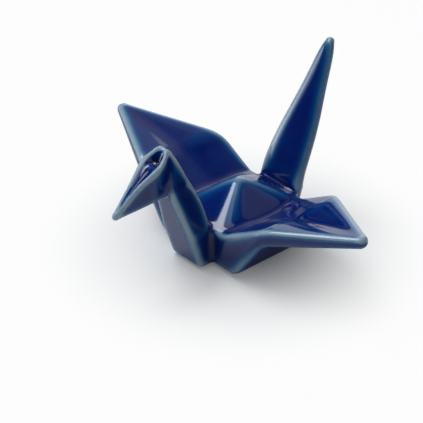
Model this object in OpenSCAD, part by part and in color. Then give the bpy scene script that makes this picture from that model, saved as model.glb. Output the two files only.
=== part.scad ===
// Chopstick rest in the shape of a folded paper crane, in glazed porcelain.
// X runs forward to the beak, Y to the crane's left and Z up. The origin is the
// middle of the standing face. Each clay piece is a loft through rounded
// outlines, and pieces that are luted together share one flat cut.

/* [Body] */
// Length of the body from its front face to its rear face
body_l = 20.4; // [17:0.2:24]
// Width of the underside between its lower corners
base_w = 20.2; // [16:0.5:22]
// Height of the level rims in front of and behind the hump
waist_h = 8; // [6.5:0.1:9.5]
// Width of the level part of those rims
waist_w = 13; // [11:0.5:15]
// Height of the hump's peak
hump_h = 13.4; // [11:0.2:15]
// Width of the hump from side to side
hump_w = 16; // [14:0.5:18]
// Distance between the folds where the wings leave the body
fold_w = 33.6; // [30:0.2:38]
// Height of the rims at the folds
fold_h = 14; // [12:0.2:16]
// Rounding of the body's lower edges
base_ease = 1.6; // [0.8:0.1:2]
// Rounding of the level rims
rim_ease = 0.9; // [0.6:0.1:1.2]

/* [Wings] */
// Wing span from tip to tip
span = 67.4; // [56:0.2:80]
// How far the wing tips lie forward of the body's middle
tip_x = 1.9; // [-4:0.2:5]
// How far before the fold the wings' rear edges turn towards the tips
rear_turn = 1.8; // [0:0.1:3]
// Height of the upper side of the wing tips
tip_h = 17.3; // [14:0.1:22]
// Thickness of a wing at its fold
wing_t = 4; // [2.6:0.1:4.4]
// Thickness of a wing at its tip
tip_t = 2.4; // [1.6:0.1:3]
// Rounding of a wing's upper edges at its fold
wing_ease = 1.4; // [1:0.1:1.8]
// Depth of the valley along the middle of a wing
valley_d = 0.9; // [0.3:0.1:1.8]
// Distance from the crane's middle at which the valleys run out
valley_end = 31; // [24:0.5:33]

/* [Neck] */
// Width of the breast, the neck's front face
breast_w = 8.4; // [7:0.1:10]
// How far the breast stands out from the body at its foot
breast_out = 2.6; // [1.6:0.1:4]
// Distance of the throat in front of the body's middle
throat_x = 18.2; // [17:0.1:20]
// Height of the throat
throat_h = 17.2; // [16:0.1:19]
// Width of the neck at the throat
throat_w = 5.4; // [4.5:0.1:6.4]
// Thickness of the neck at the throat
neck_t = 5.2; // [4.4:0.1:6]
// Width of the nape, the neck's back edge
nape_w = 3; // [2.4:0.1:3.6]
// Width of the neck's back where it stands against the body
neck_root_w = 8.2; // [6:0.1:9]

/* [Head] */
// Distance of the crown in front of the body's middle
crown_x = 17.4; // [17:0.1:18.2]
// Height of the crown
crown_h = 25.9; // [24:0.1:28]
// Distance of the beak's tip in front of the body's middle
beak_x = 29.2; // [26:0.1:34]
// Height of the middle of the beak's tip
beak_h = 16.3; // [14:0.1:17]
// Width of the head across its two rims
head_w = 5.2; // [4.4:0.1:6]
// Size of the beak's tip
beak_tip = 1.3; // [1.2:0.1:2.4]
// Thickness of the rims beside the open fold
rim_t = 0.7; // [0.5:0.1:1]
// Depth of the open fold behind the crown, its deepest place
fold_d = 1.7; // [0.8:0.1:2]

/* [Tail] */
// Width of the tail where it leaves the body
tail_w = 10.8; // [9:0.1:12]
// Thickness of the tail where it leaves the body
tail_t = 3.2; // [2.6:0.1:4]
// Distance of the tail's tip behind the body's middle
tail_x = 24.1; // [19:0.2:28]
// Height of the tail's tip
tail_h = 34.5; // [30:0.2:42]
// Size of the tail's tip
tail_tip = 1.6; // [1.2:0.1:2.6]
// How far the tail's root stands out from the body at its foot
keel_out = 1.9; // [1.2:0.1:2.6]

/* [Foot] */
// Height of the bare standing foot
foot_t = 0.4; // [0.2:0.1:0.8]
// How far the foot lies inside the edges of the underside
foot_in = 1.9; // [1.5:0.1:2.4]

/* [Hidden] */

half_l = body_l / 2;
half_fold = fold_w / 2;
half_span = span / 2;

// A wing's tip: its radius, the lean of the wing's edges towards it, the radius
// of the ball that closes it and the distance at which that ball begins
tip_r = tip_t / 2;
tip_lean = atan((half_l - tip_r) / (half_span - half_fold - tip_r));
tip_ball = tip_r / cos(tip_lean);
tip_y = half_span - tip_ball * (1 - sin(tip_lean));

// How far a bend is eased to each side, the rounding of a bar's edges, and the
// share of the base's rounding that a root's foot has
bend_ease = 1.4;
bar_ease = 1.1;
root_ease_share = 0.5;
root_ease = base_ease * root_ease_share;

// Steps in a rounded corner, across the upper side, along a loft and at its end
corner_n = 5;
across_n = 20;
body_n = 40;
wing_n = 12;
bar_n = 24;
end_n = 5;
end_turn = 84;

// Roundness shares of the wing's valley and the hump's peak, the powers that
// make the valley's front and rear sides bulge, the one that squares the hump's
// ridges, and the height over which trough and hump are blended
valley_round_share = 0.3;
peak_round_share = 0.16;
front_power = 4;
rear_power = 1.6;
ridge_power = 5;
blend_h = 0.7;

// How far up the neck its nape bends, and the jaw's bend along and down the head
nape_bend_share = 0.48;
jaw_bend_shares = [0.38, 0.93];
brow_rise = 0.6;

// The back of the head: how far up from the nape to the crown it lies, and how
// much of the brow's rise it is drawn back
back_up_share = 0.6;
back_in_share = 0.5;

// The open fold's lip and wall, as shares of the half width inside the rims
lip_share = 0.95;
least_lip_share = 0.3;
wall_share = 0.35;

// Widths of the tail's foot and of its back, how far the tail is bowed forwards
// and how far it swells to each side, each with the powers that shape it
root_share = 0.8;
back_share = 0.8;
tail_bow = 0.6;
bow_powers = [1, 5];
tail_swell = 0.95;
swell_powers = [1.4, 2.1];

// The largest part of an outline's side that one rounded corner may take, and
// the least part of the upper side that stays between its two rounded corners
side_share = 0.49;
least_flat_share = 0.25;

function mix(a, b, share) = a + (b - a) * share;

// A point on a curve from a to b that bends towards c
function curve(a, c, b, t) = (1 - t) * (1 - t) * a + 2 * t * (1 - t) * c + t * t * b;

// A bump from 0 up to 1 and back to 0, whose two powers shape its two sides
function bump(t, powers) =
    let (a = powers[0], b = powers[1], top = a / (a + b))
    pow(t / top, a) * pow((1 - t) / (1 - top), b);

// A value along a list of [distance, value], with its bends eased
function soft(list, d) =
    let (steps = [-1, -0.5, 0, 0.5, 1])
    [for (k = steps) lookup(d + k * bend_ease, list)] * [for (k = steps) 1] / len(steps);

// The larger of two heights, blended where they are close
function blend_max(a, b) =
    (a + b - blend_h + sqrt((a - b) * (a - b) + blend_h * blend_h)) / 2;

// How far an edge of radius r is drawn in at a distance d from its end
function drawn_in(d, r) = d >= r ? 0 : r - sqrt(r * r - (r - d) * (r - d));

// The point at a reach from one corner towards the next, at most half way
function towards(from, to, reach) =
    let (l = norm(to - from)) l == 0 ? from : from + (to - from) * min(side_share, reach / l);

// A corner of an outline, eased with a curve that starts and ends at its reach
function eased_corner(before, corner, after, reach) =
    let (a = towards(corner, before, reach), b = towards(corner, after, reach))
    [for (k = [0 : corner_n]) curve(a, corner, b, k / corner_n)];

// A row between the rows of a table, on a curve that passes through them all
function spline(rows, share) =
    let (last = len(rows) - 1, at = share * last, k = min(last - 1, floor(at)), t = at - k,
        a = rows[max(0, k - 1)], b = rows[k], c = rows[k + 1], d = rows[min(last, k + 2)])
    b + t * ((c - a) + t * ((2 * a - 5 * b + 4 * c - d) + t * (3 * b - a - 3 * c + d))) / 2;

// A closed solid through rings of equally many points, whose first point sees
// all the others, so that the two ends close as fans
module loft(rings) {
    n = len(rings[0]);
    last = len(rings) - 1;
    points = [for (ring = rings) each ring];
    sides = [for (k = [0 : last - 1], i = [0 : n - 1])
        let (a = k * n + i, b = k * n + (i + 1) % n)
        each [[a, b + n, b], [a, a + n, b + n]]];
    start = [for (i = [1 : n - 2]) [0, i, i + 1]];
    end = [for (i = [1 : n - 2]) [last * n, last * n + i + 1, last * n + i]];
    polyhedron(points, concat(start, sides, end));
}

// Heights and lengths at a distance s from the middle plane of the crane
function rim_h(s) = soft([[0, waist_h], [waist_w / 2, waist_h], [half_fold, fold_h],
    [half_span, tip_h]], s);
function low_h(s) = soft([[0, foot_t], [base_w / 2, foot_t], [half_fold, fold_h - wing_t],
    [half_span, tip_h - tip_t]], s);
function edge_x(s, turn) = soft([[0, half_l], [turn, half_l],
    [tip_y + bend_ease, tip_r - bend_ease * tan(tip_lean)]], s);
function front_x(s) = edge_x(s, half_fold);
function rear_x(s) = edge_x(s, half_fold - rear_turn);
function half_chord(s) = (front_x(s) + rear_x(s)) / 2;
function sweep_x(s) = (front_x(s) - rear_x(s)) / 2
    + soft([[0, 0], [half_fold, 0], [half_span, tip_x]], s);
function top_ease(s) = lookup(s, [[waist_w / 2, rim_ease], [half_fold, wing_ease],
    [half_span, tip_r]]);
function low_ease(s) = lookup(s, [[base_w / 2, base_ease], [half_fold, wing_t / 2],
    [half_span, tip_r]]);
function valley(s) = lookup(s, [[0, 0], [hump_w / 2, valley_d / 2], [half_fold, valley_d],
    [valley_end, 0]]);

// A V with a rounded bottom, from 0 in its middle to 1 at a distance of 1
function vee(u, k) = (sqrt(u * u + k * k) - k) / (sqrt(1 + k * k) - k);

// Height of the hump's four faces
function hump(x, s) =
    let (a = pow(abs(x) / half_l, ridge_power), b = pow(2 * s / hump_w, ridge_power))
    mix(hump_h, waist_h, vee(pow(a + b, 1 / ridge_power), peak_round_share));

// Height of the upper side at a share u of the way from the middle to a rim
function upper_h(u, s) =
    blend_max(rim_h(s) - valley(s) * pow(1 - vee(u, valley_round_share),
            u > 0 ? front_power : rear_power),
        hump(u * half_chord(s), s));

// Outline of the body and wings in the plane at y, or drawn in about its middle
function slab_ring(y, size = 1) =
    let (s = min(abs(y), tip_y), x = half_chord(s), low = low_h(s),
        top = min(top_ease(s), x * (1 - least_flat_share)),
        flat = 1 - top / x, rim = upper_h(flat, s), mid = (rim + low) / 2,
        front = concat(eased_corner([-x, low], [x, low], [x, rim], low_ease(s)),
            eased_corner([x, low], [x, rim], [-x, rim], top)),
        bow = [for (k = [1 : across_n - 1]) let (u = flat * (1 - 2 * k / across_n))
            [u * x, upper_h(u, s)]],
        rear = [for (k = [len(front) - 1 : -1 : 0]) [-front[k][0], front[k][1]]])
    [for (p = concat([[0, low]], front, bow, rear))
        [sweep_x(s) + p[0] * size, y, mid + (p[1] - mid) * size]];

// Outline of a folded bar in the plane through the points a and b of [x, z],
// from its outer face at a to its inner face at b, which may be hollowed
function rib_ring(a, b, w_a, w_b, hollow = 0, ease_b = bar_ease, size = 1) =
    let (l = norm(b - a), mid = (a + b) / 2,
        lip = max(least_lip_share * w_b, lip_share * (w_b - max(ease_b, rim_t))),
        half = concat(eased_corner([0, 0], [w_a, 0], [w_b, l], bar_ease),
            eased_corner([w_a, 0], [w_b, l], [0, l], ease_b),
            [[lip, l], [lip * (1 - wall_share), l - hollow]]),
        other = [for (k = [len(half) - 1 : -1 : 0]) [-half[k][0], half[k][1]]])
    [for (p = concat([[0, 0]], half, [[0, l - hollow]], other))
        let (q = mid + (a + (b - a) * p[1] / l - mid) * size)
        [q[0], p[0] * size, q[1]]];

// The breast's line in [x, z] from its foot to the throat, and its lean
throat = [throat_x, throat_h];
breast_foot = [half_l + breast_out, 0];
lean = atan((throat - breast_foot)[0] / throat_h);
nape_top = throat + neck_t * [-cos(lean), sin(lean)];
function breast(z) = mix(breast_foot, throat, z / throat_h);

// A rib of the neck's root, which stands against the body's front face
function neck_root_rib(z) =
    let (inset = drawn_in(z - foot_t, root_ease))
    rib_ring(breast(z) - [inset, 0], [half_l, z], breast_w / 2 - inset, neck_root_w / 2 - inset);

// A rib of the free neck, from the waist at 0 to the throat at 1
function neck_rib(t) =
    rib_ring(mix(breast(waist_h), throat, t),
        curve([half_l, waist_h], [half_l, mix(waist_h, nape_top[1], nape_bend_share)], nape_top, t),
        mix(breast_w, throat_w, t) / 2, mix(neck_root_w, nape_w, t) / 2);

// The crown, the middle of the beak's end, and lines from throat and crown to it
crown = [crown_x, crown_h];
tip_half = beak_tip / 2;
beak_end = [beak_x - tip_half, beak_h];
jaw_bend = [mix(throat_x, beak_x, jaw_bend_shares[0]),
    mix(throat_h, beak_h - tip_half, jaw_bend_shares[1])];
function jaw(t) = curve(throat, jaw_bend, beak_end - [0, tip_half], t);
function rim(t) = mix(crown, beak_end + [0, tip_half], t) + [0, brow_rise * 4 * t * (1 - t)];

// The head turns round the throat. Its rows lie at shares of the jaw and of the
// rims, with half widths there as shares of the head's width, a share of the
// fold's depth and a share of the rims' thickness as their rounding
head_shares = [
    [0.07, 0, 0.37, 0.26, 0.15, 1],
    [0.15, 0.14, 0.31, 0.42, 1, 0.5],
    [0.3, 0.3, 0.26, 0.5, 0.38, 0.5],
    [0.63, 0.62, 0.14, 0.28, 0.3, 0.5]];
back_shares = [0.03, 0.42, 0.52];
beak_shares = [0.7, 0.1, 0.5];
head_rows = [
    [each throat, each nape_top, throat_w / 2, nape_w / 2, 0, bar_ease],
    [each jaw(back_shares[0]),
        each mix(nape_top, crown, back_up_share) - [back_in_share * brow_rise, 0],
        throat_w * back_shares[1], nape_w * back_shares[2], 0, bar_ease],
    for (r = head_shares)
        [each jaw(r[0]), each rim(r[1]), head_w * r[2], head_w * r[3], fold_d * r[4], rim_t * r[5]],
    [each jaw(1), each rim(1), tip_half * beak_shares[0], tip_half, fold_d * beak_shares[1],
        rim_t * beak_shares[2]]];
function head_rib(t, ahead = 0, size = 1) =
    let (r = spline(head_rows, t))
    rib_ring([r[0] + ahead, r[1]], [r[2] + ahead, r[3]], r[4], r[5], r[6], r[7], size);

// The tail in [x, z], forwards of the body, to be turned to its rear
tail_lean = atan((tail_x - half_l) / (tail_h - waist_h));
across_tail = tail_tip / 2 * [cos(tail_lean), -sin(tail_lean)];
along_tail = tail_tip / 2 * [sin(tail_lean), cos(tail_lean)];
tail_end = [tail_x, tail_h] - across_tail - along_tail;
function tail_root_rib(z) =
    let (inset = drawn_in(z - foot_t, root_ease), share = z / waist_h,
        w = mix(tail_w * root_share, tail_w, share) / 2 - inset)
    rib_ring([half_l + mix(keel_out, tail_t, share) - inset, z], [half_l, z], w * back_share, w);
function tail_rib(t, ahead = 0, size = 1) =
    let (w = mix(tail_w, tail_tip, t) / 2 + tail_swell * bump(t, swell_powers),
        shift = ahead * along_tail - [tail_bow * bump(t, bow_powers), 0])
    rib_ring(mix([half_l + tail_t, waist_h], tail_end + across_tail, t) + shift,
        mix([half_l, waist_h], tail_end - across_tail, t) + shift,
        w * back_share, w, size = size);

// Heights of the ribs of a root, close together where its foot is rounded
root_heights = concat([for (k = [0 : end_n]) foot_t + root_ease * (1 - cos(90 * k / end_n))],
    [for (k = [1 : end_n - 1]) mix(foot_t + root_ease, waist_h, k / end_n)]);

module body() {
    color("midnightblue")
        loft([for (k = [0 : body_n]) slab_ring(half_fold - k * fold_w / body_n)]);
}

module left_wing() {
    color("mediumblue") loft([
        for (k = [end_n : -1 : 1]) let (a = mix(tip_lean, end_turn, k / end_n))
            slab_ring(tip_y + tip_ball * (sin(a) - sin(tip_lean)), cos(a) / cos(tip_lean)),
        for (k = [wing_n : -1 : 0]) slab_ring(mix(half_fold, tip_y, k / wing_n))]);
}

module right_wing() {
    mirror([0, 1, 0]) left_wing();
}

module neck() {
    color("royalblue") loft([
        for (z = root_heights) neck_root_rib(z),
        for (k = [0 : bar_n]) neck_rib(k / bar_n)]);
}

module head() {
    color("cornflowerblue") loft([
        for (k = [0 : bar_n]) head_rib(k / bar_n),
        for (k = [1 : end_n]) let (a = end_turn * k / end_n)
            head_rib(1, tip_half * sin(a), cos(a))]);
}

module tail() {
    color("navy") mirror([1, 0, 0]) loft([
        for (z = root_heights) tail_root_rib(z),
        for (k = [0 : bar_n]) tail_rib(k / bar_n),
        for (k = [1 : end_n]) let (a = end_turn * k / end_n) tail_rib(1, sin(a), cos(a))]);
}

// The bare clay that the rest stands on, following the underside
module foot() {
    x = half_l - foot_in;
    y = base_w / 2 - foot_in;
    corners = [[x, -y], [x, y], [-x, y], [-x, -y]];
    n = len(corners);
    color("wheat") linear_extrude(foot_t)
        polygon([for (k = [0 : n - 1])
            each eased_corner(corners[(k + n - 1) % n], corners[k], corners[(k + 1) % n],
                foot_in)]);
}

body();
left_wing();
right_wing();
neck();
head();
tail();
foot();
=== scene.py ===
"""Glazed porcelain chopstick rest in the shape of a folded paper crane.

The crane is modelled once as a soft clay form, from rounded sections that follow
the frame's solids, and its seams are smoothed over as a potter does with slip.
The form is then parted where the clay pieces meet, so that each piece of the
frame gets its own closed, glazed piece. Lengths are in metres.
"""

from math import atan2, cos, pi, radians, sin, sqrt, tan

import bmesh
import bpy
import numpy as np
from bpy.props import FloatProperty, FloatVectorProperty, IntProperty, PointerProperty
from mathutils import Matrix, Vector


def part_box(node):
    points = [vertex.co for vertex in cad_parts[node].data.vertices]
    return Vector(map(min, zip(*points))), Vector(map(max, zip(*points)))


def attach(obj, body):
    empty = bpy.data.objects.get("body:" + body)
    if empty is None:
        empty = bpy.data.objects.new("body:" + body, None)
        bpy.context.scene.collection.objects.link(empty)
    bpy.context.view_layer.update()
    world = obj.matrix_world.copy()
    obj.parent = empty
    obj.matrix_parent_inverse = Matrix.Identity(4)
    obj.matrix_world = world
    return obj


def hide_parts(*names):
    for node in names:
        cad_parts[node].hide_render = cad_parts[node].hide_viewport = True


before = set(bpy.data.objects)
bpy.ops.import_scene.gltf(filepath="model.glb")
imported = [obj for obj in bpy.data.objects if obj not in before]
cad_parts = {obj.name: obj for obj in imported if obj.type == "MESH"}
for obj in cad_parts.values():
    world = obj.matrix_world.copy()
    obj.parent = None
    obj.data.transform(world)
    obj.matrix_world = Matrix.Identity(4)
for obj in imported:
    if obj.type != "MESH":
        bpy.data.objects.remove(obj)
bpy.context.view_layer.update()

bl_info = {
    "name": "Crane chopstick rest",
    "version": (1, 0, 0),
    "blender": (4, 5, 0),
    "location": "3D Viewport > Sidebar > Crane rest",
    "description": "Builds a cobalt-glazed porcelain rest shaped like a folded crane",
    "category": "Object",
}

MM = 0.001


def reach(node, axis, side=1):
    """How far a frame piece reaches along an axis: 0, 1, 2 for X, Y, Z."""
    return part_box(node)[1 if side > 0 else 0][axis]


def length(name, text, default, low=0.0):
    return FloatProperty(name=name, description=text, default=default, min=low,
                         unit="LENGTH", precision=5)


def share(name, text, default):
    return FloatProperty(name=name, description=text, default=default, min=0, max=1,
                         subtype="FACTOR")


def colour(name, text, default):
    return FloatVectorProperty(name=name, description=text, default=default, size=3,
                               min=0, max=1, subtype="COLOR")


class BodySizes(bpy.types.PropertyGroup):
    """The trough, its hump and the two wings."""
    half_length: length("Half length", "From the middle to the front face", reach("body", 0))
    half_base: length("Half base", "Half width of the underside", 10.1 * MM)
    waist_height: length("Waist height", "Height of the level rims", 8 * MM)
    half_waist: length("Half waist", "Half width of the level rims", 6.5 * MM)
    hump_height: length("Hump height", "Height of the hump's peak", 13.4 * MM)
    half_hump: length("Half hump", "Half width of the hump", 8 * MM)
    half_fold: length("Half fold width", "From the middle to a wing's fold", reach("body", 1))
    fold_height: length("Fold height", "Height of the rims at the folds", 14 * MM)
    base_rounding: length("Base rounding", "Rounding of the lower edges", 1.6 * MM)
    rim_rounding: length("Rim rounding", "Rounding of the level rims", 0.9 * MM)
    wing_rounding: length("Wing rounding", "Rounding of the rims at the folds", 1.4 * MM)
    half_span: length("Half span", "From the middle to a wing tip", reach("left_wing", 1))
    tip_forward: length("Tip sweep", "How far the wing tips lie forward", 1.9 * MM, -1)
    rear_turn: length("Rear turn", "How far before the fold the rear edges turn", 1.8 * MM)
    tip_height: length("Tip height", "Height of the wing tips' upper side", 17.3 * MM)
    wing_thickness: length("Wing thickness", "Thickness of a wing at its fold", 4 * MM)
    tip_thickness: length("Tip thickness", "Thickness of a wing at its tip", 2.4 * MM)
    valley_depth: length("Valley depth", "Depth of the valley along a wing", 0.9 * MM)
    valley_end: length("Valley end", "Where the valleys run out, from the middle", 31 * MM)
    bend: length("Bend easing", "How far a fold is eased to each side", 1.4 * MM)


class NeckSizes(bpy.types.PropertyGroup):
    """The neck and the folded head."""
    half_breast: length("Half breast", "Half width of the breast", 4.2 * MM)
    breast_out: length("Breast reach", "How far the breast's foot stands out", 2.6 * MM)
    throat_forward: length("Throat", "The throat's distance from the middle", 18.2 * MM)
    throat_height: length("Throat height", "Height of the throat", 17.2 * MM)
    half_throat: length("Half throat", "Half width at the throat", 2.7 * MM)
    neck_thickness: length("Neck thickness", "Thickness at the throat", 5.2 * MM)
    half_nape: length("Half nape", "Half width of the nape", 1.5 * MM)
    half_root: length("Half root", "Half width of the neck's back at the body", 4.1 * MM)
    crown_forward: length("Crown", "The crown's distance from the middle", 17.4 * MM)
    crown_height: length("Crown height", "Height of the crown", 25.9 * MM)
    beak_forward: length("Beak tip", "The beak tip's distance from the middle", 29.2 * MM)
    beak_height: length("Beak height", "Height of the beak's tip", 16.3 * MM)
    head_width: length("Head width", "Width across the two rims", 5.2 * MM)
    beak_size: length("Beak size", "Size of the beak's tip", 1.3 * MM)
    rim: length("Rim thickness", "Thickness of the rims of the open fold", 0.7 * MM)
    fold_depth: length("Fold depth", "Depth of the open fold behind the crown", 1.7 * MM)
    brow: length("Brow rise", "How far the rims bow up", 0.6 * MM)
    edge: length("Edge rounding", "Rounding of the edges of neck and tail", 1.1 * MM)


class TailSizes(bpy.types.PropertyGroup):
    """The tall folded tail."""
    half_width: length("Half width", "Half width where it leaves the body", 5.4 * MM)
    thickness: length("Thickness", "Thickness where it leaves the body", 3.2 * MM)
    tip_back: length("Tip", "The tip's distance behind the middle", 24.1 * MM)
    tip_height: length("Tip height", "Height of the tip", 34.5 * MM)
    tip_size: length("Tip size", "Size of the tip", 1.6 * MM)
    keel: length("Keel reach", "How far the root stands out at its foot", 1.9 * MM)
    bow: length("Bow", "How far the tail bows forward", 0.6 * MM)
    swell: length("Swell", "How far the tail swells to each side", 0.95 * MM)
    shoulder: length("Shoulder", "How full the tail stays below its tip", 0.55 * MM)


class FootSizes(bpy.types.PropertyGroup):
    """The bare standing foot."""
    thickness: length("Thickness", "Height of the foot", reach("foot", 2))
    half_length: length("Half length", "From the middle to its front", reach("foot", 0))
    half_width: length("Half width", "From the middle to its side", reach("foot", 1))
    corner: length("Corner rounding", "Rounding of its corners", 1.9 * MM)
    bevel: length("Bevel", "Wear on its lower edge", 0.12 * MM)


class ClaySizes(bpy.types.PropertyGroup):
    """How the soft clay is worked before it is parted and glazed."""
    grain: length("Grain", "Spacing of the modelled surface", 0.21 * MM, 0.05 * MM)
    overlap: length("Overlap", "How far neck and tail run into the body", 2.2 * MM)
    luting: length("Luting", "How far a joint's slip stands out from the body", 0.35 * MM)
    fillet: length("Fillet", "Size of the fillets of slip at neck and tail", 1.0 * MM)
    wipes: IntProperty(name="Wipes", description="Strokes that soften the edges",
                       default=6, min=0, max=40)
    polish: IntProperty(name="Polish", description="Strokes that even out the gloss",
                        default=16, min=0, max=40)
    tail_polish: IntProperty(name="Tail polish", description="Further strokes on the tail",
                             default=45, min=0)


class GlazeLook(bpy.types.PropertyGroup):
    """Colours and gloss of the glaze and of the bare clay."""
    # deep is also the colour of the painted shade in hollows and creases
    deep: colour("Deep cobalt", "The glaze where it pools", (0.0002, 0.003, 0.045))
    cobalt: colour("Cobalt", "The glaze on open faces", (0.0005, 0.014, 0.150))
    steel: colour("Steel blue", "The glaze where it begins to thin", (0.003, 0.060, 0.24))
    # pale and thin are also the colours of the painted highlights and reflections on edges
    pale: colour("Pale glaze", "The glaze near an edge", (0.06, 0.18, 0.35))
    thin: colour("Thin glaze", "The glaze where it breaks over an edge", (0.33, 0.45, 0.57))
    clay: colour("Bare clay", "The unglazed foot", (0.74, 0.70, 0.62))
    speck: colour("Iron specks", "The fine specks in the clay", (0.30, 0.22, 0.15))
    roughness: share("Roughness", "Roughness of the fired glaze", 0.07)
    clay_roughness: share("Clay roughness", "Roughness of the bare clay", 0.82)
    ripple: length("Ripple", "Height of the slow waves in the glaze", 0.004 * MM)


class StageLook(bpy.types.PropertyGroup):
    """The floor, the lamps and the camera."""
    floor: colour("Floor", "Colour of the floor", (0.80, 0.80, 0.80))
    whiteness: share("Whiteness", "How far the floor is lifted to plain white", 0.95)
    shade_from: length("Shade from", "Where the shadow on the floor begins to lift", 2 * MM)
    shade_to: length("Shade to", "Where the shadow on the floor has gone", 40 * MM)
    lift_from: length("Lift from", "Where the floor's lift begins, from the middle", 60 * MM)
    lift_to: length("Lift to", "Where the floor's lift is full", 140 * MM)
    room: colour("Room", "Colour of the light from the room", (0.80, 0.90, 1.0))
    room_level: FloatProperty(name="Room level", description="Brightness of that light",
                              default=0.03, min=0)
    azimuth: FloatProperty(name="Azimuth", description="The camera's turn round the rest",
                           default=radians(138.93), subtype="ANGLE")
    elevation: FloatProperty(name="Elevation", description="The camera's height angle",
                             default=radians(31.77), subtype="ANGLE")
    distance: length("Distance", "From the camera to its aim", 217.2 * MM)
    aim: FloatVectorProperty(name="Aim", description="The point the camera looks at",
                             default=(9.55 * MM, 3.36 * MM, 11.27 * MM), size=3,
                             subtype="XYZ", unit="LENGTH")
    lens: FloatProperty(name="Focal length", description="In millimetres on a 36 mm frame",
                        default=102.1, min=20)


GROUPS = {"crane_body": BodySizes, "crane_neck": NeckSizes, "crane_tail": TailSizes,
          "crane_foot": FootSizes, "crane_clay": ClaySizes, "crane_glaze": GlazeLook,
          "crane_stage": StageLook}


# Lines and sections

SIDE_SHARE = 0.49  # the most of a side that one rounded corner takes up
DOME_END = radians(84)  # how far round a domed end its last section lies


def mix(a, b, t):
    """The value a share t of the way from a to b."""
    return a + (b - a) * t


def smooth_step(low, high, value):
    """0 below low, 1 above high, eased between."""
    t = min(1.0, max(0.0, (value - low) / (high - low)))
    return t * t * (3 - 2 * t)


def bezier(a, c, b, t):
    """A point of the curve from a to b that is drawn towards c."""
    return a * (1 - t) ** 2 + c * (2 * t * (1 - t)) + b * t ** 2


class FoldedLine:
    """A line through stops of (distance, value), its bends eased over a distance."""

    def __init__(self, stops, ease):
        self.at = np.array([s[0] for s in stops], dtype=float)
        self.value = np.array([s[1] for s in stops], dtype=float)
        steps = np.diff(self.at) * (self.value[1:] + self.value[:-1]) / 2
        self.sum = np.concatenate([[0.0], np.cumsum(steps)])
        self.ease = ease

    def _area(self, d):
        """Area under the unbroken line from its first stop to d."""
        if d <= self.at[0]:
            return (d - self.at[0]) * self.value[0]
        if d >= self.at[-1]:
            return self.sum[-1] + (d - self.at[-1]) * self.value[-1]
        k = int(np.searchsorted(self.at, d)) - 1
        t = (d - self.at[k]) / (self.at[k + 1] - self.at[k])
        end = mix(self.value[k], self.value[k + 1], t)
        return self.sum[k] + (d - self.at[k]) * (self.value[k] + end) / 2

    def __call__(self, d):
        return (self._area(d + self.ease) - self._area(d - self.ease)) / (2 * self.ease)


def rounded_corner(before, corner, after, radius, steps=10):
    """Points of a corner, eased with a curve that starts and ends at the radius."""
    ends = []
    for other in (before, after):
        way = other - corner
        ends.append(corner + way * min(SIDE_SHARE, radius / way.length))
    return [bezier(ends[0], corner, ends[1], k / steps) for k in range(steps + 1)]


def bump(t, low, high):
    """0 at both ends and 1 at its top; the two powers shape its two sides."""
    top = low / (low + high)
    return (t / top) ** low * ((1 - t) / (1 - top)) ** high


def spline(rows, t):
    """A row between the rows of a table, on a curve through them all."""
    last = len(rows) - 1
    k = min(last - 1, int(t * last))
    t = t * last - k
    a, b, c, d = (np.array(rows[i]) for i in (max(0, k - 1), k, k + 1, min(last, k + 2)))
    return b + t * ((c - a) + t * ((2 * a - 5 * b + 4 * c - d) + t * (3 * b - a - 3 * c + d))) / 2


def drawn_in(distance, radius):
    """How far a rounded edge is drawn in at a distance from its end."""
    return 0.0 if distance >= radius else radius - sqrt(radius ** 2 - (radius - distance) ** 2)


def lofted(bm, rings):
    """Adds a closed skin through rings of equally many points."""
    rows = [[bm.verts.new(point) for point in ring] for ring in rings]
    n = len(rows[0])
    for low, high in zip(rows, rows[1:]):
        for i in range(n):
            j = (i + 1) % n
            bm.faces.new((low[i], low[j], high[j], high[i]))
    for row in (rows[0], rows[-1]):
        middle = bm.verts.new(sum((v.co for v in row), Vector()) / n)
        for i in range(n):
            bm.faces.new((row[i], row[(i + 1) % n], middle))


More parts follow.
